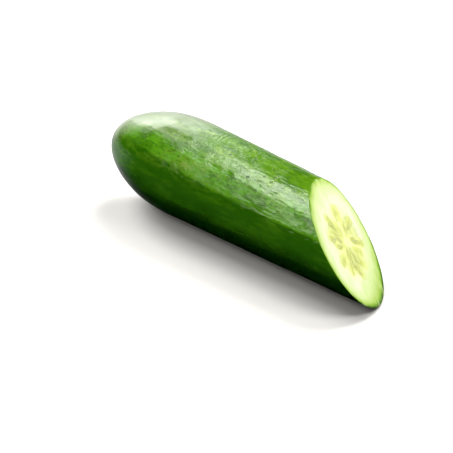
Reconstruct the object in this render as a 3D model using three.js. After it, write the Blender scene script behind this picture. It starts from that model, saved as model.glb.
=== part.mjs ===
// A slicing cucumber with its stem end cut away by one slanting knife stroke, lying on its side.
// Millimetres, +Z up. +X runs along the fruit, from the round blossom end to the cut. The origin is on
// the surface it lies on, below the middle of its box.
//
// The fruit is one closed skin: rings run from the blossom tip to the rim of the cut, then on across the
// cut face to its middle. Its own frame has x along the axis from the tip, and turns about that axis are
// measured from straight up towards +Y.

import * as THREE from "three";

const degrees = THREE.MathUtils.DEG2RAD;

// Driving dimensions
const bodyRadius = 26; // at the fullest place
const tipLength = 41.4; // from the blossom tip to where the body takes over
const tipPower = 1.43; // 2 would make the tip half an ellipsoid; less is more pointed
const shoulder = 0.24; // how softly the tip runs into the body, as a share of its length
const taper = 0.088; // share of the radius lost in each 100 mm of the body
const cutCentre = 162; // from the tip to where the cut crosses the axis
const cutSlope = 1.203; // how far the cut runs along the fruit for each millimetre across it
const cutTurn = 208 * degrees; // the side on which the cut reaches furthest
const sag = { height: 1.9, middle: 88, turn: 306 * degrees }; // both ends bend off by height in 100 mm
const noseDown = 1.27 * degrees; // so that its tapering underside lies level
const restDepth = 0.4; // how far its weight presses the underside flat

// Relief of the rind
const lobe = { count: 3, height: 0.25, turn: 42 * degrees }; // one swelling over each seed chamber
const ridge = { counts: [7, 11], height: 0.06 }; // faint and unevenly spaced, all along the fruit
const reliefFade = 30; // the blossom end is smoother
const scar = { radius: 2.6, rim: 0.3, dimple: 0.6 }; // where the flower sat

// The seed core, as on a section straight across the fruit. The slanting cut stretches it.
const chambers = [
  { turn: 350 * degrees, middle: 6.5 },
  { turn: 103 * degrees, middle: 8.2 },
  { turn: 236 * degrees, middle: 9.4 },
];
const chamberReach = 5.8;
const chamberDepth = 0.45;
const seed = { length: 6, width: 2.5, height: 0.55, perChamber: 6, spread: 19 * degrees, stagger: 4.2 };
const loneSeed = { turn: 174 * degrees, middle: 11.1 };

// Mesh
const sides = 80;
const skinRings = 44;
const faceRings = 20;
const tipCrowding = 0.5; // less spreads the rings evenly, more gathers them at the tip
const faceCrowding = 1.25; // above 1, the rings gather over the seed core

const faceStretch = Math.hypot(1, cutSlope); // of the slanting face against a straight section

// Positive part of a value, rounded off near zero
function softPositive(value) {
  return (value + Math.hypot(value, shoulder)) / 2;
}

// Radius of the smooth body at x
function bodyRadiusAt(x) {
  const before = softPositive(1 - x / tipLength) / softPositive(1);
  const past = softPositive(x / tipLength - 1) * tipLength;
  return bodyRadius * Math.sqrt(1 - before ** tipPower) * (1 - (taper * past) / 100);
}

// Radius of the rind at x and a turn about the axis, with its swellings, ridges and scar
function rindRadius(x, turn) {
  const smooth = bodyRadiusAt(x);
  const fade = THREE.MathUtils.smoothstep(x, 0, reliefFade);
  const swelling = lobe.height * Math.cos(lobe.count * (turn - lobe.turn));
  const ridges = ridge.counts.map((count, i) => ridge.height * Math.cos(count * turn + i));
  return smooth + fade * ridges.reduce((sum, height) => sum + height, swelling);
}

// How far the blossom end is drawn in or raised, along the axis, at a distance from the tip
function scarDepth(distance) {
  const dimple = scar.dimple * Math.exp(-((distance / (0.6 * scar.radius)) ** 2));
  const rim = scar.rim * Math.exp(-(((distance - scar.radius) / (0.4 * scar.radius)) ** 2));
  return dimple - rim;
}

// Middle of the section at x, on the slightly curved axis
function axisAt(x) {
  const lift = sag.height * ((x - sag.middle) / 100) ** 2;
  return new THREE.Vector3(x, lift * Math.sin(sag.turn), lift * Math.cos(sag.turn));
}

function rindPoint(x, turn) {
  const radius = rindRadius(x, turn);
  const point = axisAt(x);
  point.y += radius * Math.sin(turn);
  point.z += radius * Math.cos(turn);
  return point;
}

// The cut's plane: its middle, the way it runs towards the nose, across, and out of the fruit
const cutMiddle = axisAt(cutCentre);
const towardsNose = new THREE.Vector3(cutSlope, Math.sin(cutTurn), Math.cos(cutTurn)).normalize();
const across = new THREE.Vector3(0, Math.cos(cutTurn), -Math.sin(cutTurn));
const outward = new THREE.Vector3().crossVectors(across, towardsNose);

// Where the rind meets the cut's plane at a turn, found by stepping towards it
function rimStation(turn) {
  let x = cutCentre;
  for (let step = 0; step < 30; step++) {
    const point = rindPoint(x, turn).sub(cutMiddle);
    x = cutCentre + cutSlope * (point.y * Math.sin(cutTurn) + point.z * Math.cos(cutTurn));
  }
  return x;
}

// Seeds stand in a fan in each chamber, every second one set further in, and one stands alone. Places
// are on the straight section, towards the nose and to the side, and seeds point away from the middle.
function seedPlaces() {
  const places = [];
  const addSeed = (turn, distance) => {
    places.push({ ahead: distance * Math.cos(turn), side: distance * Math.sin(turn), turn });
  };
  for (const chamber of chambers) {
    for (let i = 0; i < seed.perChamber; i++) {
      const fan = (i - (seed.perChamber - 1) / 2) * seed.spread;
      addSeed(chamber.turn + fan, chamber.middle + ((i % 2 ? -1 : 1) * seed.stagger) / 2);
    }
  }
  addSeed(loneSeed.turn, loneSeed.middle);
  return places;
}
const seeds = seedPlaces();

// Height of the cut face over its plane: seed chambers a little sunk, seeds standing in them
function faceRelief(ahead, side) {
  let sunk = 0;
  for (const chamber of chambers) {
    const aheadOfMiddle = ahead - chamber.middle * Math.cos(chamber.turn);
    const besideMiddle = side - chamber.middle * Math.sin(chamber.turn);
    const distance = Math.hypot(aheadOfMiddle, besideMiddle);
    sunk = Math.max(sunk, 1 - THREE.MathUtils.smoothstep(distance, 0.6 * chamberReach, chamberReach));
  }
  let raised = 0;
  for (const place of seeds) {
    const dAhead = ahead - place.ahead;
    const dSide = side - place.side;
    const lengthwise = dAhead * Math.cos(place.turn) + dSide * Math.sin(place.turn);
    const sideways = dSide * Math.cos(place.turn) - dAhead * Math.sin(place.turn);
    const share = Math.hypot(lengthwise / (seed.length / 2), sideways / (seed.width / 2));
    raised = Math.max(raised, 1 - THREE.MathUtils.smoothstep(share, 0.4, 1));
  }
  return seed.height * raised - chamberDepth * sunk;
}

// Rings of points, from the blossom tip round to the middle of the cut face
function fruitPoints() {
  const points = [new THREE.Vector3(scarDepth(0), 0, 0).add(axisAt(0))];
  const turns = Array.from({ length: sides }, (_, i) => (i / sides) * 2 * Math.PI);
  const rims = turns.map(rimStation);
  const reach = Math.hypot(tipCrowding, 1) - tipCrowding;
  for (let ring = 1; ring <= skinRings; ring++) {
    const share = (Math.hypot(tipCrowding, ring / skinRings) - tipCrowding) / reach;
    turns.forEach((turn, i) => {
      const x = share * rims[i];
      const point = rindPoint(x, turn);
      point.x += scarDepth(bodyRadiusAt(x));
      points.push(point);
    });
  }
  for (let ring = 1; ring < faceRings; ring++) {
    const share = (1 - ring / faceRings) ** faceCrowding;
    turns.forEach((turn, i) => {
      const point = rindPoint(rims[i], turn).sub(cutMiddle).multiplyScalar(share);
      const relief = faceRelief(point.dot(towardsNose) / faceStretch, point.dot(across));
      points.push(point.add(cutMiddle).addScaledVector(outward, relief));
    });
  }
  points.push(cutMiddle.clone().addScaledVector(outward, faceRelief(0, 0)));
  return points;
}

// Triangles between the rings, closed by a fan at each end
function ringTriangles(ringCount, pointCount) {
  const indices = [];
  const at = (ring, side) => 1 + ring * sides + (side % sides);
  for (let side = 0; side < sides; side++) {
    indices.push(0, at(0, side), at(0, side + 1));
    for (let ring = 0; ring + 1 < ringCount; ring++) {
      indices.push(at(ring, side), at(ring + 1, side), at(ring, side + 1));
      indices.push(at(ring, side + 1), at(ring + 1, side), at(ring + 1, side + 1));
    }
    indices.push(at(ringCount - 1, side), pointCount - 1, at(ringCount - 1, side + 1));
  }
  return indices;
}

// Lays the fruit down: nose tipped to the surface, centred over the origin, its underside pressed flat
function layDown(points) {
  const tip = new THREE.Matrix4().makeRotationY(noseDown);
  points.forEach((point) => point.applyMatrix4(tip));
  const box = new THREE.Box3().setFromPoints(points);
  const middle = box.getCenter(new THREE.Vector3());
  const drop = new THREE.Vector3(middle.x, middle.y, box.min.z + restDepth);
  for (const point of points) {
    point.sub(drop);
    point.z = Math.max(0, point.z);
  }
}

function makeCucumber() {
  const points = fruitPoints();
  layDown(points);
  const geometry = new THREE.BufferGeometry().setFromPoints(points);
  geometry.setIndex(ringTriangles(skinRings + faceRings - 1, points.length));
  geometry.computeVertexNormals();
  const rind = new THREE.MeshStandardMaterial({ color: 0x2f6b14, roughness: 0.32, metalness: 0 });
  const cucumber = new THREE.Mesh(geometry, rind);
  cucumber.name = "cucumber";
  return cucumber;
}

const group = new THREE.Group();
group.add(makeCucumber());

export default group;
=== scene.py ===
import math

import bpy
import numpy as np
from mathutils import Matrix, Vector


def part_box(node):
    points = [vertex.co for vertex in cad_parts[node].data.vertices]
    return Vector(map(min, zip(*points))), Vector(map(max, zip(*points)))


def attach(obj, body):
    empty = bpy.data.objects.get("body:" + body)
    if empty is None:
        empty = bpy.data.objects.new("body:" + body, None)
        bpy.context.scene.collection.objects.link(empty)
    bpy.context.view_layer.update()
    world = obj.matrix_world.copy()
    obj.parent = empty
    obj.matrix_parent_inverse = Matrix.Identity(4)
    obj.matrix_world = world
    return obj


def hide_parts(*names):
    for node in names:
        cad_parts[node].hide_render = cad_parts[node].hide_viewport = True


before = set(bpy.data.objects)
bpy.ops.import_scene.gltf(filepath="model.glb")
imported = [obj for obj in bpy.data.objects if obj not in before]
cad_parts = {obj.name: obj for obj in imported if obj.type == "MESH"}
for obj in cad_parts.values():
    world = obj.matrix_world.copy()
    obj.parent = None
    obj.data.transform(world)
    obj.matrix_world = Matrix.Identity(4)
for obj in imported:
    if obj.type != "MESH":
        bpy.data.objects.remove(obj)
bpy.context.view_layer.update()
mm = 0.001

# The fruit is worked out in its own frame first: x along its axis from the blossom tip, and turns about
# the axis measured from straight up towards +Y. The nose is where the slanting cut reaches furthest.
# The fruit is laid down on the surface at the end.


class Value:  # a node's output that sums can be written with
    def __init__(self, maker, socket):
        self.maker = maker
        self.socket = socket

    def sum(self, operation, *numbers):
        return self.maker.sum(operation, *numbers)

    def __add__(self, other):
        return self.sum("ADD", self, other)

    def __radd__(self, other):
        return self.sum("ADD", other, self)

    def __sub__(self, other):
        return self.sum("SUBTRACT", self, other)

    def __rsub__(self, other):
        return self.sum("SUBTRACT", other, self)

    def __mul__(self, other):
        return self.sum("MULTIPLY", self, other)

    def __rmul__(self, other):
        return self.sum("MULTIPLY", other, self)

    def __truediv__(self, other):
        return self.sum("DIVIDE", self, other)

    def __rtruediv__(self, other):
        return self.sum("DIVIDE", other, self)

    def __pow__(self, other):
        return self.sum("POWER", self, other)

    def __neg__(self):
        return self.sum("MULTIPLY", self, -1.0)


class Maker:  # adds nodes to one tree
    def __init__(self, tree):
        self.tree = tree
        self.last = None  # the geometry so far

    def add(self, kind, settings=None, values=None, output=0):
        node = self.tree.nodes.new(kind)
        for name, setting in (settings or {}).items():
            if name == "stops":
                self.setStops(node.color_ramp, setting)
            else:
                setattr(node, name, setting)
        self.fill(node, values or {})
        if node.outputs:
            return Value(self, node.outputs[output])

    def fill(self, node, values):  # a socket takes a plain value or another node's output
        for name, value in values.items():
            if isinstance(value, Value):
                self.tree.links.new(value.socket, node.inputs[name])
            else:
                node.inputs[name].default_value = value

    def setStops(self, ramp, stops):
        while len(ramp.elements) < len(stops):
            ramp.elements.new(1.0)
        for element, (place, colour) in zip(ramp.elements, stops):
            element.position = place
            element.color = (*colour, 1.0)

    def output(self, value, name):  # another output of the same node
        return Value(self, value.socket.node.outputs[name])

    def sum(self, operation, *numbers):
        return self.add("ShaderNodeMath", {"operation": operation}, dict(enumerate(numbers)))

    def vector(self, operation, *vectors, scale=None):
        values = dict(enumerate(vectors))
        if scale is not None:
            values["Scale"] = scale
        output = "Value" if operation in ("DOT_PRODUCT", "LENGTH", "DISTANCE") else "Vector"
        return self.add("ShaderNodeVectorMath", {"operation": operation}, values, output)

    def join(self, x, y, z):
        return self.add("ShaderNodeCombineXYZ", None, {"X": x, "Y": y, "Z": z})

    def split(self, vector):
        x = self.add("ShaderNodeSeparateXYZ", None, {"Vector": vector})
        return x, self.output(x, "Y"), self.output(x, "Z")

    def smooth(self, value, low, high, first=0.0, last=1.0):  # eases from first to last
        settings = {"interpolation_type": "SMOOTHSTEP", "clamp": True}
        values = {"Value": value, "From Min": low, "From Max": high, "To Min": first, "To Max": last}
        return self.add("ShaderNodeMapRange", settings, values)

    def mixVectors(self, share, first, last):
        return self.add("ShaderNodeMix", {"data_type": "VECTOR"}, {0: share, 4: first, 5: last}, 1)

    def mixColours(self, share, first, last):
        settings = {"data_type": "RGBA", "clamp_factor": True}
        return self.add("ShaderNodeMix", settings, {0: share, 6: asColour(first), 7: asColour(last)}, 2)

    def noise(self, vector, scale, detail=2.0, roughness=0.5, distortion=0.0):
        values = {"Vector": vector, "Scale": scale, "Detail": detail}
        values.update({"Roughness": roughness, "Distortion": distortion})
        return self.add("ShaderNodeTexNoise", None, values)

    def pattern(self, place, along, scale, *detail):  # noise about zero, drawn out along the fruit
        return self.noise(self.vector("MULTIPLY", place, (along, 1.0, 1.0)), scale, *detail) - 0.5

    def cells(self, vector, scale):
        return self.add("ShaderNodeTexVoronoi", None, {"Vector": vector, "Scale": scale}, "Distance")

    def attribute(self, name):
        return self.add("ShaderNodeAttribute", {"attribute_name": name}, None, "Fac")

    def then(self, kind, settings=None, values=None):  # the next step of the geometry
        self.last = self.add(kind, settings, {"Geometry": self.last, **(values or {})})

    def store(self, name, value):
        settings = {"data_type": "FLOAT", "domain": "POINT"}
        self.then("GeometryNodeStoreNamedAttribute", settings, {"Name": name, "Value": value})


def asColour(colour):
    return colour if isinstance(colour, Value) else (*colour, 1.0)


def calculate(operation, number, plain):  # a node's sum on a Value, and Python's on a number
    return number.sum(operation, number) if isinstance(number, Value) else plain(number)


def sine(angle):
    return calculate("SINE", angle, math.sin)


def cosine(angle):
    return calculate("COSINE", angle, math.cos)


def root(number):
    return calculate("SQRT", number, math.sqrt)


def length(*parts):
    return root(sum(part * part for part in parts))


def startTree(name, sizes):  # a Geometry Nodes tree with a named input for each size
    tree = bpy.data.node_groups.new(name, "GeometryNodeTree")
    for size in sizes:
        tree.interface.new_socket(size, in_out="INPUT", socket_type="NodeSocketFloat")
    tree.interface.new_socket("Geometry", in_out="OUTPUT", socket_type="NodeSocketGeometry")
    maker = Maker(tree)
    first = maker.add("NodeGroupInput")
    return maker, {size: maker.output(first, size) for size in sizes}


def endTree(maker, materials):  # materials are given with the faces that they are set on
    maker.then("GeometryNodeRealizeInstances")
    for material, selection in materials:
        values = {"Material": material}
        if selection is not None:
            values["Selection"] = selection
        maker.then("GeometryNodeSetMaterial", None, values)
    maker.add("NodeGroupOutput", None, {"Geometry": maker.last})


def growMesh(name, maker, sizes):  # runs the tree once and keeps its result as a plain mesh
    holder = bpy.data.objects.new(name, bpy.data.meshes.new(name))
    bpy.context.scene.collection.objects.link(holder)
    modifier = holder.modifiers.new("grow", "NODES")
    modifier.node_group = maker.tree
    for item in maker.tree.interface.items_tree:
        if item.in_out == "INPUT" and item.name in sizes:
            modifier[item.identifier] = float(sizes[item.name])
    grown = holder.evaluated_get(bpy.context.evaluated_depsgraph_get())
    mesh = bpy.data.meshes.new_from_object(grown)
    mesh.name = name
    holder.modifiers.remove(modifier)
    holder.data = mesh
    print("grown:", name, len(mesh.vertices), "points,", len(mesh.polygons), "faces")
    return holder


# The shape of the fruit. Its functions work on plain numbers and on a tree's values alike.
fruitSizes = {
    "bodyRadius": 25.9 * mm,
    "tipLength": 41.4 * mm,
    "tipPower": 1.43,  # less is more pointed
    "shoulder": 0.24,  # how softly the tip runs into the body
    "taper": 0.88,  # share of the radius lost in each metre of the body
    "cutCentre": 162 * mm,  # where the cut crosses the axis
    "cutSlope": 1.203,  # how far the cut runs along the fruit for each millimetre across it
    "cutTurn": math.radians(208),  # the side on which it reaches furthest
    "sagHeight": 1.9 * mm,  # how far the axis has bent off 100 mm before and after sagMiddle
    "sagMiddle": 88 * mm,
    "sagTurn": math.radians(306),
    "lobes": 3,  # a swelling over each seed chamber
    "lobeHeight": 0.25 * mm,
    "lobeTurn": math.radians(42),
    "ridge": 0.3 * mm,  # long unevenness along the fruit
    "ripple": 0.55 * mm,  # fine unevenness
    "dent": 0.5 * mm,  # broad unevenness
    "reliefFade": 30 * mm,  # the blossom end is smoother
    "scarRadius": 2.6 * mm,
    "scarRim": 0.3 * mm,
    "scarDimple": 0.6 * mm,
    "rimRounding": 0.14 * mm,
    "rimWidth": 0.45 * mm,
}
fruitNoises = {  # how far each is drawn out along the fruit, its scale and detail
    "ridge": (0.12, 110, 1.0),
    "ripple": (0.5, 125, 3.0),
    "dent": (1.0, 26, 1.0),
}
scarReaches = {"dimple": 0.6, "rim": 0.4}  # as shares of its radius
fruitLies = {
    "noseDown": math.radians(1.27),
    "restDepth": 0.4 * mm,  # how far its weight presses the underside flat
}
fruitMesh = {
    "sides": 256,
    "skinRings": 232,
    "rimRings": 8,  # the last of the skin's, which are close together
    "rimBand": 1.2 * mm,  # the length of rind that they take up
    "faceRings": 146,
    "crowding": 0.4,  # more gathers the rings at the tip
    "rimSteps": 4,
    "merge": 0.002 * mm,
}


def softPositive(sizes, value):
    return (value + length(value, sizes["shoulder"])) / 2


def bodyRadiusAt(sizes, x):
    before = softPositive(sizes, 1 - x / sizes["tipLength"]) / softPositive(sizes, 1.0)
    past = softPositive(sizes, x / sizes["tipLength"] - 1) * sizes["tipLength"]
    return sizes["bodyRadius"] * root(1 - before ** sizes["tipPower"]) * (1 - sizes["taper"] * past)


def axisAt(sizes, x):
    lift = sizes["sagHeight"] * ((x - sizes["sagMiddle"]) / (100 * mm)) ** 2
    return x, lift * sine(sizes["sagTurn"]), lift * cosine(sizes["sagTurn"])


def rindPoint(sizes, x, turn, relief):
    radius = bodyRadiusAt(sizes, x) + relief
    axisX, axisY, axisZ = axisAt(sizes, x)
    return axisX, axisY + radius * sine(turn), axisZ + radius * cosine(turn)


def aheadAndSide(sizes, y, z):  # a place on the section, from its middle towards the nose and across
    ahead = y * sine(sizes["cutTurn"]) + z * cosine(sizes["cutTurn"])
    side = y * cosine(sizes["cutTurn"]) - z * sine(sizes["cutTurn"])
    return ahead, side


def cutDirections():  # along the cut towards the nose, across it, and out of the fruit
    slope = fruitSizes["cutSlope"]
    turn = fruitSizes["cutTurn"]
    towards = Vector((slope, math.sin(turn), math.cos(turn))).normalized()
    across = Vector((0, math.cos(turn), -math.sin(turn)))
    return towards, across, across.cross(towards)


towardsNose, acrossCut, outOfCut = cutDirections()
cutMiddle = Vector(axisAt(fruitSizes, fruitSizes["cutCentre"]))


coreSizes = {
    "firstTurn": math.radians(350),
    "secondTurn": math.radians(103),
    "thirdTurn": math.radians(236),
    "firstMiddle": 6.5 * mm,  # from the middle of the fruit to the chamber's
    "secondMiddle": 8.2 * mm,
    "thirdMiddle": 9.4 * mm,
    "chamberReach": 5.8 * mm,
    "chamberFloor": 0.62,  # the share of its reach that is at full depth
    "chamberDepth": 0.45 * mm,
    "chamberWobble": 2.4 * mm,  # how uneven the chambers' outlines are
    "faceWobble": 0.1 * mm,  # and how uneven the cut is
    "wobbleScale": 190,
    "gelReach": 1.3 * mm,  # how far the gel clings to a seed
    "gelRise": 0.72,  # and how far it fills the chamber there
}
seedSizes = {
    "count": 19,  # the last stands alone
    "perChamber": 6,
    "length": 6.0 * mm,
    "width": 2.5 * mm,
    "height": 0.38 * mm,
    "slimming": 0.3,  # towards the middle of the fruit
    "sunk": 0.12 * mm,
    "spread": math.radians(19),
    "stagger": 4.2 * mm,
    "loneTurn": math.radians(174),
    "loneDistance": 11.1 * mm,
    "turnPlay": 0.09,
    "placePlay": 0.5 * mm,
    "leanPlay": 0.3,
    "smaller": 0.3,  # the most that a seed is smaller than these sizes, as a share
    "larger": 0.05,
}
seedDraws = {"turn": 3, "distance": 5, "lean": 7, "scale": 11}  # any whole numbers
seedBall = {"Segments": 28, "Rings": 18, "Radius": 0.5}
chamberNames = ("first", "second", "third")


def onCut(maker, ahead, side, height):  # a place on the cut face, as a point in the fruit's frame
    inPlane = maker.vector("SCALE", tuple(towardsNose), scale=ahead * math.hypot(1, fruitSizes["cutSlope"]))
    sideways = maker.vector("SCALE", tuple(acrossCut), scale=side)
    raised = maker.vector("SCALE", tuple(outOfCut), scale=height)
    place = maker.vector("ADD", maker.vector("ADD", inPlane, sideways), raised)
    return maker.vector("ADD", place, tuple(cutMiddle))


def pick(maker, index, values):  # the value that stands at an index
    chosen = values[0]
    for place, value in enumerate(values[1:], 1):
        after = maker.sum("GREATER_THAN", index, place - 0.5)
        chosen = chosen + after * (value - chosen)
    return chosen


def draw(maker, low, high, name):  # a random number for each point, always the same
    values = {2: low, 3: high, 8: seedDraws[name]}
    return maker.add("FunctionNodeRandomValue", {"data_type": "FLOAT"}, values, 1)


def seedPlaces(maker, size):  # a fan of seeds in each chamber, every second one set further in
    index = maker.add("GeometryNodeInputIndex")
    chamber = maker.sum("FLOOR", index / size["perChamber"] + 0.001)
    inChamber = index - chamber * size["perChamber"]
    inFan = maker.sum("LESS_THAN", chamber, len(chamberNames) - 0.5)
    fan = (inChamber - (size["perChamber"] - 1) / 2) * size["spread"]
    turns = [size[name + "Turn"] for name in chamberNames] + [size["loneTurn"]]
    turn = pick(maker, chamber, turns) + inFan * fan
    turn = turn + draw(maker, -size["turnPlay"], size["turnPlay"], "turn")
    outer = 1 - 2 * maker.sum("FLOORED_MODULO", inChamber, 2.0)
    middles = [size[name + "Middle"] for name in chamberNames] + [size["loneDistance"]]
    distance = pick(maker, chamber, middles) + inFan * outer * size["stagger"] / 2
    distance = distance + draw(maker, -size["placePlay"], size["placePlay"], "distance")
    place = maker.join(distance * cosine(turn), distance * sine(turn), 0.0)
    return maker.add("GeometryNodePoints", None, {"Count": size["count"], "Position": place}), turn


def oneSeed(maker, size):  # an oval, slimmer towards the middle of the fruit
    maker.last = maker.add("GeometryNodeMeshUVSphere", None, seedBall)
    x, y, z = maker.split(maker.add("GeometryNodeInputPosition"))
    maker.store("seedEdge", length(2 * x, 2 * y))
    slim = 1 - size["slimming"] * maker.smooth(0.5 - x, 0.15, 1.0)
    shaped = maker.join(x * size["length"], y * slim * size["width"], z * slim * size["height"])
    maker.then("GeometryNodeSetPosition", None, {"Position": shaped})
    return maker.last


def makeSeeds(material):
    maker, size = startTree("seedTree", {**coreSizes, **seedSizes})
    points, turn = seedPlaces(maker, size)
    seed = oneSeed(maker, size)
    lean = turn + draw(maker, -size["leanPlay"], size["leanPlay"], "lean")
    scale = 1 + draw(maker, -size["smaller"], size["larger"], "scale")
    values = {"Points": points, "Instance": seed, "Rotation": maker.join(0.0, 0.0, lean), "Scale": scale}
    maker.last = maker.add("GeometryNodeInstanceOnPoints", None, values)
    maker.then("GeometryNodeRealizeInstances")
    ahead, side, height = maker.split(maker.add("GeometryNodeInputPosition"))
    laid = onCut(maker, ahead, side, height - size["sunk"])
    maker.then("GeometryNodeSetPosition", None, {"Position": laid})
    endTree(maker, [(material, None)])
    return growMesh("seeds", maker, {**coreSizes, **seedSizes})


def aheadAndSideOf(size, point):  # where a point is on the cut, from its middle
    return aheadAndSide(size, point[1] - cutMiddle.y, point[2] - cutMiddle.z)


def rimStation(size, turn, lobe):  # where the rind meets the cut, stepping towards it
    rim = size["cutCentre"]
    for step in range(fruitMesh["rimSteps"]):
        ahead = aheadAndSideOf(size, rindPoint(size, rim, turn, lobe))[0]
        rim = size["cutCentre"] + size["cutSlope"] * ahead
    return rim


def ringStation(maker, ring, rim):  # close at the tip, even along the body, close again at the rim
    bodyRings = fruitMesh["skinRings"] - fruitMesh["rimRings"]
    crowding = fruitMesh["crowding"]
    bodyShare = length(maker.sum("MINIMUM", ring / bodyRings, 1.0), crowding) - crowding
    bodyShare = bodyShare / (math.hypot(crowding, 1) - crowding)
    bandShare = maker.sum("MAXIMUM", ring - bodyRings, 0.0) / fruitMesh["rimRings"]
    bandShare = maker.sum("MINIMUM", bandShare, 1.0)
    return bodyShare * (rim - fruitMesh["rimBand"]) + bandShare * fruitMesh["rimBand"]


def scarShape(maker, fromScar, middle, reach):  # 1 at its middle, and fading on both sides
    off = (fromScar - middle) / reach
    return maker.sum("EXPONENT", -(off * off))


def skinPlace(maker, size, x, turn, lobe):
    radius = bodyRadiusAt(size, x)
    around = maker.join(x, radius * sine(turn), radius * cosine(turn))
    relief = lobe
    for name, noise in fruitNoises.items():
        relief = relief + maker.pattern(around, *noise) * size[name]
    relief = relief * maker.smooth(x, 0.0, size["reliefFade"])
    skinX, skinY, skinZ = rindPoint(size, x, turn, relief)
    fromScar = radius / size["scarRadius"]
    dimple = size["scarDimple"] * scarShape(maker, fromScar, 0.0, scarReaches["dimple"])
    raised = size["scarRim"] * scarShape(maker, fromScar, 1.0, scarReaches["rim"])
    return maker.join(skinX + dimple - raised, skinY, skinZ), fromScar


def chamberShare(maker, size, ahead, side, wobble):  # 1 in the seed chambers
    gel = 0.0
    for name in chamberNames:
        middleAhead = size[name + "Middle"] * cosine(size[name + "Turn"])
        middleSide = size[name + "Middle"] * sine(size[name + "Turn"])
        distance = length(ahead - middleAhead, side - middleSide) + wobble * size["chamberWobble"]
        full = size["chamberReach"] * size["chamberFloor"]
        gel = maker.sum("MAXIMUM", gel, maker.smooth(distance, full, size["chamberReach"], 1.0, 0.0))
    return gel


def facePlace(maker, size, ahead, side, seeds):  # chambers are sunk, and their gel clings to the seeds
    wobble = maker.noise(maker.join(ahead, side, 0.0), size["wobbleScale"], 2.0) - 0.5
    gel = chamberShare(maker, size, ahead, side, wobble)
    settings = {"transform_space": "ORIGINAL"}
    seedShape = maker.add("GeometryNodeObjectInfo", settings, {"Object": seeds}, "Geometry")
    values = {0: seedShape, "Sample Position": onCut(maker, ahead, side, 0.0)}
    near = maker.add("GeometryNodeProximity", {"target_element": "FACES"}, values, "Distance")
    cling = maker.smooth(near, 0.0, size["gelReach"], 1.0, 0.0)
    height = gel * size["chamberDepth"] * (size["gelRise"] * cling - 1) + wobble * size["faceWobble"]
    return onCut(maker, ahead, side, height), gel, near


def makeFruit(rind, flesh, seeds):
    maker, size = startTree("fruitTree", {**fruitSizes, **coreSizes})
    sides = fruitMesh["sides"]
    rings = fruitMesh["skinRings"] + fruitMesh["faceRings"]
    grid = {"Size X": 1.0, "Size Y": 1.0, "Vertices X": rings + 1, "Vertices Y": sides + 1}
    maker.last = maker.add("GeometryNodeMeshGrid", None, grid)
    gridX, gridY = maker.split(maker.add("GeometryNodeInputPosition"))[:2]
    ring = (gridX + 0.5) * rings
    turn = (gridY + 0.5) * math.tau
    lobe = size["lobeHeight"] * cosine((turn - size["lobeTurn"]) * size["lobes"])
    rim = rimStation(size, turn, lobe)
    x = ringStation(maker, ring, rim)
    skin, fromScar = skinPlace(maker, size, x, turn, lobe)

    # across the cut, rings are smaller copies of the rim
    ahead, side = aheadAndSideOf(size, rindPoint(size, rim, turn, lobe))
    faceShare = maker.sum("MAXIMUM", ring - fruitMesh["skinRings"], 0.0) / fruitMesh["faceRings"]
    fromRim = length(ahead, side) * faceShare
    ahead = ahead * (1 - faceShare)
    side = side * (1 - faceShare)
    face, gel, near = facePlace(maker, size, ahead, side, seeds)

    # a slightly rounded rim between them
    onFace = maker.sum("GREATER_THAN", ring, fruitMesh["skinRings"] + 0.5)
    closeness = 1 - maker.sum("MINIMUM", (rim - x + fromRim) / size["rimWidth"], 1.0)
    drop = closeness * closeness * size["rimRounding"]
    inwards = maker.vector("SUBTRACT", maker.join(0.0, -sine(turn), -cosine(turn)), tuple(outOfCut))
    place = maker.mixVectors(onFace, skin, face)
    place = maker.vector("ADD", place, maker.vector("SCALE", inwards, scale=drop))

    attributes = {
        "upward": cosine(turn), "fromRim": fromRim - (rim - x), "fromScar": fromScar,
        "ahead": ahead, "side": side, "gel": gel, "seedNear": near,
    }
    for name, value in attributes.items():
        maker.store(name, value)
    maker.then("GeometryNodeSetPosition", None, {"Position": place})
    maker.then("GeometryNodeMergeByDistance", None, {"Distance": fruitMesh["merge"]})
    maker.then("GeometryNodeSetShadeSmooth", None, {"Shade Smooth": True})
    cut = maker.add("GeometryNodeInputNamedAttribute", {"data_type": "FLOAT"}, {"Name": "fromRim"})
    endTree(maker, [(rind, None), (flesh, maker.sum("GREATER_THAN", cut, 0.0))])
    return growMesh("cucumberFruit", maker, {**fruitSizes, **coreSizes})


def meshPoints(piece):
    points = np.empty(len(piece.data.vertices) * 3)
    piece.data.vertices.foreach_get("co", points)
    return points.reshape(-1, 3)


def layDown(fruit, others):  # tips the nose down, sets it over the origin and presses the underside flat
    tip = Matrix.Rotation(fruitLies["noseDown"], 4, "Y")
    fruit.data.transform(tip)
    points = meshPoints(fruit)
    low, high = points.min(0), points.max(0)
    cadLow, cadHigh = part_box("cucumber")
    move = [(cadLow[i] + cadHigh[i] - low[i] - high[i]) / 2 for i in range(2)]
    move.append(-fruitLies["restDepth"] - low[2])
    fruit.data.transform(Matrix.Translation(move))
    lie = Matrix.Translation(move) @ tip
    for other in others:
        other.data.transform(lie)
    points = meshPoints(fruit)
    points[:, 2] = np.maximum(points[:, 2], 0.0)
    fruit.data.vertices.foreach_set("co", points.ravel())
    fruit.data.update()
    return lie


def newMaterial(name):
    material = bpy.data.materials.new(name)
    material.use_nodes = True
    maker = Maker(material.node_tree)
    return material, maker, material.node_tree.nodes["Principled BSDF"]


def objectPlace(maker):
    return maker.add("ShaderNodeTexCoord", None, None, "Object")


def layOver(maker, colour, layers, look):  # each layer lies over those before it
    for share, name, strength in layers:
        colour = maker.mixColours(share * strength, colour, look[name])
    return colour


def addBump(maker, shader, look, height):
    bump = {"Strength": look["reliefShare"], "Distance": look["relief"], "Height": height}
    maker.fill(shader, {"Normal": maker.add("ShaderNodeBump", None, bump)})


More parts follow.
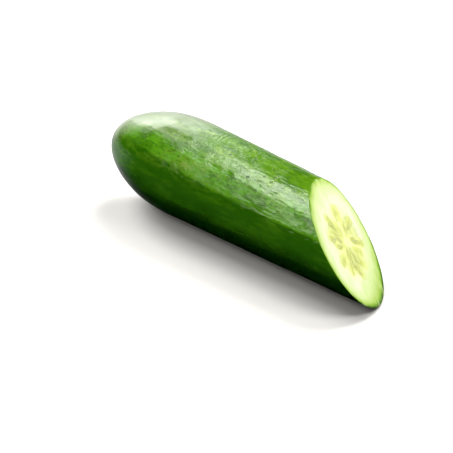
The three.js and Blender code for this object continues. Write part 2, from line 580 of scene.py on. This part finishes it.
def letLightIn(maker, shader, look):
    maker.fill(shader, {
        "Subsurface Weight": look["lightIn"],
        "Subsurface Radius": look["glow"],
        "Subsurface Scale": look["glowDepth"],
    })


rindLook = {
    # the first colours are the rind's green with painted shade and light: darkest on the underside, lighter
    # towards the top
    "under": (0.0015, 0.016, 0.0003),
    "shadedDeep": (0.014, 0.076, 0.0004),
    "mossy": (0.034, 0.12, 0.001),
    "litLeafy": (0.055, 0.148, 0.003),
    "vivid": (0.097, 0.204, 0.008),
    # a painted sheen: lighter green for the band just under the top
    "sides": (0.074, 0.235, 0.006),
    "dark": (0.02, 0.08, 0.001),
    # a darker, greyer green painted under the tip's highlight
    "end": (0.055, 0.1, 0.003),
    "fleck": (0.18, 0.29, 0.035),
    "speck": (0.015, 0.045, 0.002),
    "rim": (0.16, 0.3, 0.015),
    "scar": (0.2, 0.15, 0.05),
    "roughness": 0.13,
    "gloss": 0.4,
    "glossTint": (0.92, 1.0, 0.8),
    "relief": 0.2 * mm,
    "reliefShare": 1.0,
    "rimWidth": 0.7 * mm,
}
rindNoises = {  # how far each is drawn out along the fruit, its scale, detail, roughness and distortion
    "broad": (1.0, 45, 2.0),
    "furrows": (0.14, 170, 2.0),
    "streaks": (0.2, 300, 3.0, 0.6),
    "patches": (0.5, 170, 4.0, 0.7, 0.3),
    "worn": (0.45, 190, 2.0, 0.5),
    "mottle": (0.5, 420, 4.0, 0.65, 0.4),
    "grain": (0.5, 900, 3.0, 0.6),
}
rindCells = {"specks": 300, "pits": 140}

# Each change has where it starts, where it is complete, and its shares there if they aren't 0 and 1
alongRind = {  # from the middle of the fruit towards the cut
    "tip": (-84 * mm, -66 * mm, 1, 0),
    "blossomEnd": (-57 * mm, -18 * mm, 1, 0),
    "coat": (-80 * mm, -46 * mm, 0.48, 1),
    # edge and lighter move the painted light on the top: less of it at the tip, and lower towards the cut
    "edge": (-80 * mm, -48 * mm, 0.55, 1),
    "relief": (-78 * mm, -54 * mm, 0.25, 1),
    "lighter": (-60 * mm, 40 * mm),
    "darkStreaks": (-30 * mm, 30 * mm),
    "towardsCut": (0, 45 * mm),
    "worn": (-85 * mm, -40 * mm),
    "lessWorn": (0, 60 * mm, 1, 0.4),
}
upRind = {  # from the underside, -1, to the top, 1
    # the entries for the dark underside, the edge and the lighter top place painted shade below and painted
    # light above
    "shadedDeep": (-0.4, 0.15),
    "mossy": (-0.4, 0.2),
    "edge": (0.52, 0.62),
    "litLeafy": (0.7, 0.95),
    "sides": (0.7, 0.92, 1, 0),
    "mottled": (0.1, 0.8),
    "relief": (-0.1, 0.5),
    "blossomEnd": (0.8, 0.94),
    "tip": (0.3, 0.7),
    "worn": (0.5, 0.65),
    "scratched": (0.5, 0.7),
}
overRind = {  # in a pattern; lower places let it cover more
    "mossy": (-0.06, 0.14),
    "vivid": (-0.02, 0.12),
    "darkPatches": (0, 0.12),
    "darkGrain": (0.03, 0.12),
    "darkStreaks": (0.06, 0.16),
    "rubbed": (0.05, 0.2),
    "flecks": (0.04, 0.3),
    "specks": (0.12, 0.22, 1, 0),
    "speckled": (0.02, 0.12),
    "pits": (0.09, 0.16, 1, 0),
    "pitted": (-0.08, 0),
}
aroundScar = {"upward": (0.5, 4, 0.3, 1), "scar": (0.6, 1.2, 1, 0)}  # by its radius
scratches = {
    "places": ((-20.5 * mm, 2.6 * mm), (-18 * mm, 2.2 * mm)),  # along the fruit and across it
    "slant": 0.2,
    "width": (0.2 * mm, 0.7 * mm, 1, 0),
    "length": (2.5 * mm, 4.5 * mm, 1, 0),
}


def wornPlaces(maker, place, along, upward, noise):  # flecks and dark specks, most of them high up
    worn = maker.smooth(along, *alongRind["worn"]) * maker.smooth(along, *alongRind["lessWorn"])
    worn = worn * maker.smooth(upward + noise["broad"] * 0.3, *upRind["worn"])
    rubbed = maker.smooth(noise["worn"] + noise["broad"] * 0.3, *overRind["rubbed"]) * worn
    flecks = noise["worn"] + noise["grain"] * 0.9 + noise["mottle"] * 0.6
    flecks = maker.smooth(flecks, *overRind["flecks"]) * rubbed
    stretched = maker.vector("MULTIPLY", place, (0.5, 1.0, 1.0))
    specks = maker.cells(stretched, rindCells["specks"]) + noise["grain"] * 0.5
    specks = maker.smooth(specks, *overRind["specks"]) * maker.smooth(noise["worn"], *overRind["speckled"])
    pits = maker.cells(place, rindCells["pits"]) + noise["grain"] * 0.3
    pits = maker.smooth(pits, *overRind["pits"]) * maker.smooth(noise["worn"], *overRind["pitted"])
    return flecks, maker.sum("MAXIMUM", specks * worn, pits * worn)


def scratchShare(maker, along, across, upward, grain):
    scratched = 0.0
    for middle, beside in scratches["places"]:
        off = maker.sum("ABSOLUTE", along - middle + across * scratches["slant"] + grain * mm)
        reach = maker.sum("ABSOLUTE", across - beside)
        share = maker.smooth(off, *scratches["width"]) * maker.smooth(reach, *scratches["length"])
        scratched = scratched + share * maker.smooth(upward, *upRind["scratched"])
    return scratched


def rindMaterial():
    material, maker, shader = newMaterial("rind")
    place = objectPlace(maker)
    along, across = maker.split(place)[:2]
    fromScar = maker.attribute("fromScar")
    upward = maker.attribute("upward") * maker.smooth(fromScar, *aroundScar["upward"])
    noise = {name: maker.pattern(place, *values) for name, values in rindNoises.items()}
    broad, furrows, streaks, patches = (noise[name] for name in ("broad", "furrows", "streaks", "patches"))
    mottle, grain = noise["mottle"], noise["grain"]

    # painted shade and light: dark below, and lighter above an uneven edge that comes lower towards the
    # cut, as if lit from above
    shadedDeep = maker.smooth(upward + broad * 0.3 + furrows * 0.5, *upRind["shadedDeep"])
    mossy = maker.smooth(patches * 0.6 + streaks + broad * 0.6, *overRind["mossy"])
    mossy = mossy * maker.smooth(upward, *upRind["mossy"])
    lit = upward + broad * 0.14 + furrows * 0.14 + streaks * 0.18
    lit = lit + maker.smooth(along, *alongRind["lighter"]) * 0.2
    edge = maker.smooth(lit, *upRind["edge"]) * maker.smooth(along, *alongRind["edge"])
    litLeafy = edge * 0.85 + maker.smooth(lit, *upRind["litLeafy"]) * 0.15
    # painted sheen on the band just under the top, standing in for light from the side
    sides = edge * maker.smooth(upward, *upRind["sides"])

    # light and dark mottling of the upper side
    mottled = maker.smooth(upward, *upRind["mottled"])
    vivid = maker.smooth(mottle + broad * 0.5 + furrows * 0.6, *overRind["vivid"]) * mottled
    darkPatches = maker.smooth(patches - broad * 0.4 - furrows * 0.6, *overRind["darkPatches"]) * mottled
    darkGrain = maker.smooth(grain + mottle * 0.6, *overRind["darkGrain"]) * mottled
    darkStreaks = maker.smooth(streaks, *overRind["darkStreaks"]) * mottled
    darkStreaks = darkStreaks * maker.smooth(along, *alongRind["darkStreaks"])

    # a darker, greyer base painted where the tip's highlight falls, so that it reads white, under a thicker
    # gloss at the blossom end
    tip = maker.smooth(along, *alongRind["tip"]) * maker.smooth(upward, *upRind["tip"])
    blossomEnd = maker.smooth(along + patches * 30 * mm, *alongRind["blossomEnd"])
    blossomEnd = blossomEnd * maker.smooth(upward + patches * 0.2, *upRind["blossomEnd"])
    blossomEnd = maker.sum("MAXIMUM", blossomEnd, tip)

    flecks, specks = wornPlaces(maker, place, along, upward, noise)
    scratched = scratchShare(maker, along, across, upward, grain)
    scar = maker.smooth(fromScar + grain, *aroundScar["scar"])
    rim = maker.smooth(maker.attribute("fromRim") + grain * 0.6 * mm, -rindLook["rimWidth"], 0.0)
    layers = (
        (shadedDeep, "shadedDeep", 1), (mossy, "mossy", 0.6), (litLeafy, "litLeafy", 1), (sides, "sides", 0.9),
        (vivid, "vivid", 0.65), (darkPatches, "dark", 0.6), (darkGrain, "dark", 0.6),
        (darkStreaks, "dark", 0.7), (blossomEnd, "end", 0.8), (flecks, "fleck", 0.6),
        (specks, "speck", 0.9), (scratched, "fleck", 0.3), (scar, "scar", 0.8), (rim, "rim", 0.8),
    )
    maker.fill(shader, {
        "Base Color": layOver(maker, rindLook["under"], layers, rindLook),
        "Coat Weight": blossomEnd * maker.smooth(along, *alongRind["coat"]) * (1 - scar),
        "Coat Roughness": rindLook["roughness"],
        "Roughness": rindLook["roughness"] + broad * 0.08 + mottle * 0.16 + specks * 0.2 + scar * 0.3,
        "Specular IOR Level": rindLook["gloss"],
        "Specular Tint": asColour(rindLook["glossTint"]),
    })

    # the relief that breaks up the gloss
    towardsCut = maker.smooth(along, *alongRind["towardsCut"])
    fine = mottle * 0.8 + patches * 0.5 + grain * 0.33
    height = furrows * 2.4 + streaks * (1 + towardsCut) + fine * (1 - towardsCut * 0.6)
    height = height + flecks * 0.2 - specks * 0.3 - scratched
    height = height * maker.smooth(upward, *upRind["relief"]) * maker.smooth(along, *alongRind["relief"])
    addBump(maker, shader, rindLook, height * (1 - blossomEnd * 0.5))
    return material


fleshLook = {
    "skin": (0.03, 0.1, 0.002),
    "underSkin": (0.18, 0.36, 0.02),
    "green": (0.36, 0.5, 0.1),
    "pale": (0.57, 0.66, 0.31),
    "cream": (0.7, 0.74, 0.52),
    "core": (0.67, 0.71, 0.35),
    "gel": (0.62, 0.67, 0.215),
    "olive": (0.45, 0.51, 0.11),
    "vein": (0.52, 0.66, 0.24),
    "roughness": 0.42,
    "wetness": 0.2,  # how much smoother the gel is
    "relief": 0.15 * mm,
    "reliefShare": 0.3,
    "lightIn": 0.3,
    "glow": (1.0, 1.0, 0.45),
    "glowDepth": 1 * mm,
}
greenBand = {  # under the rind, from the skin inwards
    "depth": 8 * mm,
    "places": {"skin": 0.04, "underSkin": 0.09, "green": 0.17, "pale": 0.4, "cream": 1.0},
    "widestAhead": 0.64,  # the direction in which it is widest
    "widestSide": -0.77,
    "least": 0.66,
    "wider": 1.1,  # there and on the opposite side
    "lopsided": 0.6,  # more there than on the opposite side
    "cloudy": 1.2,  # how much a broad pattern changes its width
    "edgeWobble": 0.4 * mm,
    "thinSkin": (-0.3, 0.5, 0.35 * mm, 0),  # opposite, where less skin shows
}
fleshSizes = {
    "veins": (9 * mm, 16 * mm),  # from the middle
    "veined": (-0.08, 0.16),  # in their pattern
    "core": (9 * mm, 15.5 * mm, 1, 0),
    "coreWobble": 10 * mm,
    "gel": (0.4 * mm, 2.4 * mm, 1, 0),  # from a seed
    "gelWobble": 2.4 * mm,
    "below": (-0.02, 0.12),  # in the pattern of the seeds that show from below
    "cells": 2200,
}
fleshNoises = {  # how far each is drawn out towards the nose, its scale, detail and roughness
    "cloud": (1.0, 120, 3.0),
    "edge": (1.0, 700, 2.0),
    "mottle": (1.0, 900, 3.0),
    "veins": (0.3, 330, 3.0, 0.6),
    "below": (0.5, 420, 3.0, 0.6),
    "knife": (0.1, 900, 2.0),
}


def underRind(maker, ahead, side, fromMiddle, cloud, edge):
    leaning = (ahead * greenBand["widestAhead"] + side * greenBand["widestSide"]) / fromMiddle
    wider = leaning * leaning * (greenBand["wider"] + leaning * greenBand["lopsided"])
    width = greenBand["least"] + wider + cloud * greenBand["cloudy"]
    depth = maker.attribute("fromRim") / width + edge * greenBand["edgeWobble"]
    depth = depth + maker.smooth(leaning, *greenBand["thinSkin"])
    stops = [(0.0, fleshLook["skin"])]
    stops += [(place, fleshLook[name]) for name, place in greenBand["places"].items()]
    return maker.add("ShaderNodeValToRGB", {"stops": stops}, {"Fac": depth / greenBand["depth"]})


def fleshMaterial():
    material, maker, shader = newMaterial("flesh")
    ahead, side = maker.attribute("ahead"), maker.attribute("side")
    gel, near = maker.attribute("gel"), maker.attribute("seedNear")
    section = maker.join(ahead, side, 0.0)
    fromMiddle = maker.vector("LENGTH", section)
    noise = {name: maker.pattern(section, *values) for name, values in fleshNoises.items()}
    cloud, mottle = noise["cloud"], noise["mottle"]
    colour = underRind(maker, ahead, side, fromMiddle, cloud, noise["edge"])
    veins = maker.smooth(noise["veins"], *fleshSizes["veined"])
    veins = veins * maker.smooth(fromMiddle, *fleshSizes["veins"])

    # the yellower core, and the gel round its seeds with more seeds showing dimly from below
    core = maker.smooth(fromMiddle + cloud * fleshSizes["coreWobble"], *fleshSizes["core"])
    inGel = maker.smooth(near + mottle * fleshSizes["gelWobble"], *fleshSizes["gel"])
    inGel = maker.sum("MAXIMUM", inGel, gel * (0.7 + mottle))
    below = maker.smooth(noise["below"], *fleshSizes["below"]) * inGel
    layers = ((veins, "vein", 0.55), (core, "core", 0.85), (inGel, "gel", 0.9), (below, "olive", 0.7))
    maker.fill(shader, {
        "Base Color": layOver(maker, colour, layers, fleshLook),
        "Roughness": fleshLook["roughness"] - gel * fleshLook["wetness"],
    })
    height = maker.cells(section, fleshSizes["cells"]) * 0.5 + noise["knife"] * 0.4 + cloud
    addBump(maker, shader, fleshLook, height)
    letLightIn(maker, shader, fleshLook)
    return material


seedLook = {
    "middle": (0.57, 0.62, 0.16),
    "edge": (0.65, 0.7, 0.23),
    "edgeFade": (0.35, 0.95),  # from the middle, as shares of the seed's reach
    "cloudScale": 600,
    "roughness": 0.35,
    "relief": 0.1 * mm,
    "reliefShare": 0.2,
    "lightIn": 0.6,
    "glow": (1.0, 1.0, 0.4),
    "glowDepth": 2 * mm,
}


def seedMaterial():
    material, maker, shader = newMaterial("seed")
    cloud = maker.noise(objectPlace(maker), seedLook["cloudScale"], 2.0) - 0.5
    share = maker.smooth(maker.attribute("seedEdge") + cloud * 0.8, *seedLook["edgeFade"])
    maker.fill(shader, {
        "Base Color": maker.mixColours(share, seedLook["middle"], seedLook["edge"]),
        "Roughness": seedLook["roughness"] + cloud * 0.1,
    })
    addBump(maker, shader, seedLook, cloud)
    letLightIn(maker, shader, seedLook)
    return material


studio = {
    "azimuth": math.radians(46),
    "elevation": math.radians(26.7),
    "distance": 1.25,
    "lens": 202,
    "sensor": 36,
    "clip": (0.05, 50),
    "aimAlong": 104 * mm,  # a place on the fruit's axis
    "aimRight": 17.9 * mm,  # and how far that stands off the middle of the frame
    "aimUp": 11 * mm,
    "roomLight": 0.05,
}


def cameraDirections():
    azimuth, elevation = studio["azimuth"], studio["elevation"]
    right = Vector((math.cos(azimuth), math.sin(azimuth), 0))
    level = Vector((math.sin(azimuth), -math.cos(azimuth), 0))
    back = level * math.cos(elevation) + Vector((0, 0, math.sin(elevation)))
    return right, back.cross(right), back


def makeCamera(lie):
    right, up, back = cameraDirections()
    lens = bpy.data.cameras.new("camera")
    lens.lens = studio["lens"]
    lens.sensor_width = studio["sensor"]
    lens.clip_start, lens.clip_end = studio["clip"]
    camera = bpy.data.objects.new("camera", lens)
    bpy.context.scene.collection.objects.link(camera)
    onAxis = lie @ Vector((studio["aimAlong"], 0, 0))
    aim = onAxis - right * studio["aimRight"] - up * studio["aimUp"]
    facing = Matrix((right, up, back)).transposed().to_4x4()
    camera.matrix_world = Matrix.Translation(aim + back * studio["distance"]) @ facing
    bpy.context.scene.camera = camera


# Places are in metres to the right of the camera's view, away from it and up, from the floor under the
# middle of the fruit. Lamps and cards face lightAim and are rolled about their own middles.
lightAim = Vector((0, 0, 0.03))
lampValues = {  # they light the scene but aren't seen in the gloss; brightness is in watts per square metre
    "backLeft": {"place": (-0.6, 0.6, 0.8), "size": (0.6, 0.6), "roll": 0, "brightness": 45.6},
    "backRight": {"place": (0.4, 0.8, 0.9), "size": (0.6, 0.6), "roll": 0, "brightness": 76},
    "frontLeft": {"place": (-0.7, -0.2, 0.6), "size": (0.5, 0.5), "roll": 0, "brightness": 16.8},
    "frontRight": {"place": (0.7, -0.2, 1.0), "size": (0.6, 0.6), "roll": 0, "brightness": 22.8},
}
cardValues = {  # white cards that only the gloss shows; each fades over its left, right, low and high edge
    "upperCard": {
        "place": (-0.10, 0.24, 0.33), "size": (0.25, 0.03), "roll": -135,
        "brightness": 7.7, "fade": (0.01, 0.86, 0.01, 0.01),
    },
    "backCard": {
        "place": (-0.14, 0.42, 0.17), "size": (0.34, 0.30), "roll": -20,
        "brightness": 2, "fade": (0.04, 0.29, 0.30, 0.18),
    },
    "streakCard": {
        "place": (-0.18, 0.11, 0.37), "size": (0.22, 0.065), "roll": -15,
        "brightness": 11, "fade": (0.01, 0.01, 0.01, 0.01),
    },
    "leftCard": {
        "place": (-0.32, -0.045, 0.215), "size": (0.14, 0.03), "roll": -65,
        "brightness": 11, "fade": (0.68, 0.01, 0.01, 0.01),
    },
    "cornerCard": {
        "place": (-0.21, 0.215, 0.295), "size": (0.035, 0.175), "roll": -35,
        "brightness": 7, "fade": (0.11, 0.01, 0.86, 0.01),
    },
    "middleCard": {
        "place": (-0.115, 0.305, 0.265), "size": (0.14, 0.06), "roll": 65,
        "brightness": 8, "fade": (0.21, 0.01, 0.62, 0.06),
    },
}
floorValues = {"reach": 6, "colour": (0.63, 0.62, 0.59), "roughness": 0.8, "gloss": 0.1}
floorGlow = {  # what the gloss shows of the floor: bright behind the fruit and its tip, dark in front
    "brightness": 0.68,
    "reach": 1.5,
    "height": 2 * mm,
    "behind": (0.04, 0.2),  # where it brightens, behind the fruit's middle
    "nearTip": (0.005, 0.065),  # and nearer to the fruit, beside the tip
    "tipSlant": 0.3,
    "tipSide": (-0.06, -0.03, 1, 0),
    "leftFade": (-0.9, -0.1),
}


def cameraGround():  # the camera's right, the way it looks and up, along the floor
    right = cameraDirections()[0]
    return Matrix((right, Vector((-right.y, right.x, 0)), Vector((0, 0, 1)))).transposed()


def facingAim(values):  # place and two sides of a lamp or card that faces lightAim
    place = cameraGround() @ Vector(values["place"])
    back = (place - lightAim).normalized()
    level = Vector((0, 0, 1)).cross(back).normalized()
    roll = math.radians(values["roll"])
    across = level * math.cos(roll) + back.cross(level) * math.sin(roll)
    return place, across, back.cross(across)


def makeLamps():
    for name, values in lampValues.items():
        lamp = bpy.data.lights.new(name, "AREA")
        lamp.shape = "RECTANGLE"
        lamp.size, lamp.size_y = values["size"]
        lamp.energy = values["brightness"] * lamp.size * lamp.size_y
        lampObject = bpy.data.objects.new(name, lamp)
        bpy.context.scene.collection.objects.link(lampObject)
        place, across, upwards = facingAim(values)
        facing = Matrix((across, upwards, across.cross(upwards))).transposed().to_4x4()
        lampObject.matrix_world = Matrix.Translation(place) @ facing
        lampObject.visible_camera = lampObject.visible_glossy = False


def addFlat(name, corners, material):  # a stage piece of one face
    mesh = bpy.data.meshes.new(name)
    mesh.from_pydata(corners, [], [(0, 1, 2, 3)])
    mesh.materials.append(material)
    flat = bpy.data.objects.new(name, mesh)
    bpy.context.scene.collection.objects.link(flat)
    return flat


def startGlow(name):
    material, maker, shader = newMaterial(name)
    maker.tree.nodes.remove(shader)
    return material, maker


def addGlow(name, corners, share, maker, material, brightness):  # adds light, and hides nothing behind it
    glow = maker.add("ShaderNodeEmission", None, {"Strength": brightness})
    glow = maker.add("ShaderNodeMixShader", None, {0: share, 2: glow})
    clear = maker.add("ShaderNodeBsdfTransparent")
    both = maker.add("ShaderNodeAddShader", None, {0: glow, 1: clear})
    maker.fill(maker.tree.nodes["Material Output"], {"Surface": both})
    glowing = addFlat(name, corners, material)
    glowing.visible_camera = glowing.visible_diffuse = glowing.visible_shadow = False
    glowing.visible_transmission = False


def makeCards():
    for name, values in cardValues.items():
        place, across, upwards = facingAim(values)
        material, maker = startGlow(name)
        point = objectPlace(maker)
        share = 1.0
        reaches = []
        for i, direction in enumerate((-across, across, -upwards, upwards)):
            edge = values["size"][i // 2] / 2
            fade = values["fade"][i] / 2
            outwards = maker.vector("DOT_PRODUCT", point, tuple(direction)) - place.dot(direction)
            share = share * maker.smooth(outwards, edge - fade, edge + fade, 1.0, 0.0)
            reaches.append(direction * (edge + fade))
        left, right, low, high = reaches
        corners = [place + left + low, place + right + low, place + right + high, place + left + high]
        addGlow(name, corners, share, maker, material, values["brightness"])


def makeFloor():
    material, maker, shader = newMaterial("floorWhite")
    maker.fill(shader, {
        "Base Color": asColour(floorValues["colour"]),
        "Roughness": floorValues["roughness"],
        "Specular IOR Level": floorValues["gloss"],
    })
    reach = floorValues["reach"]
    corners = [(-reach, -reach, 0), (reach, -reach, 0), (reach, reach, 0), (-reach, reach, 0)]
    floor = addFlat("floor", corners, material)
    floor.visible_glossy = False  # floorGlow stands for it in the gloss


def makeFloorGlow():
    right, away, up = cameraGround().col
    reach = floorGlow["reach"]
    corners = []
    for side, distance in ((-reach, 0), (reach, 0), (reach, reach), (-reach, reach)):
        corners.append(right * side + away * distance + up * floorGlow["height"])
    material, maker = startGlow("floorGlow")
    point = objectPlace(maker)
    behind = maker.vector("DOT_PRODUCT", point, tuple(away))
    sideways = maker.vector("DOT_PRODUCT", point, tuple(right))
    nearTip = maker.smooth(behind + sideways * floorGlow["tipSlant"], *floorGlow["nearTip"])
    nearTip = nearTip * maker.smooth(sideways, *floorGlow["tipSide"])
    share = maker.sum("MAXIMUM", maker.smooth(behind, *floorGlow["behind"]), nearTip)
    share = share * maker.smooth(sideways, *floorGlow["leftFade"])
    addGlow("floorGlow", corners, share, maker, material, floorGlow["brightness"])


def makeWorld():
    world = bpy.data.worlds.new("studio")
    world.use_nodes = True
    background = world.node_tree.nodes["Background"]
    background.inputs["Color"].default_value = (1, 1, 1, 1)
    background.inputs["Strength"].default_value = studio["roomLight"]
    world.cycles_visibility.glossy = False
    bpy.context.scene.world = world
    bpy.context.scene.view_settings.view_transform = "Standard"


def finishPiece(piece):
    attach(piece, "root")


seeds = makeSeeds(seedMaterial())
print("seeds stand in their chambers")
fruit = makeFruit(rindMaterial(), fleshMaterial(), seeds)
lie = layDown(fruit, [seeds])
print("fruit lies on its flat spot")
finishPiece(fruit)
finishPiece(seeds)
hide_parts("cucumber")
makeCamera(lie)
makeLamps()
makeCards()
makeFloor()
makeFloorGlow()
makeWorld()
print("camera, lights and floor are set")
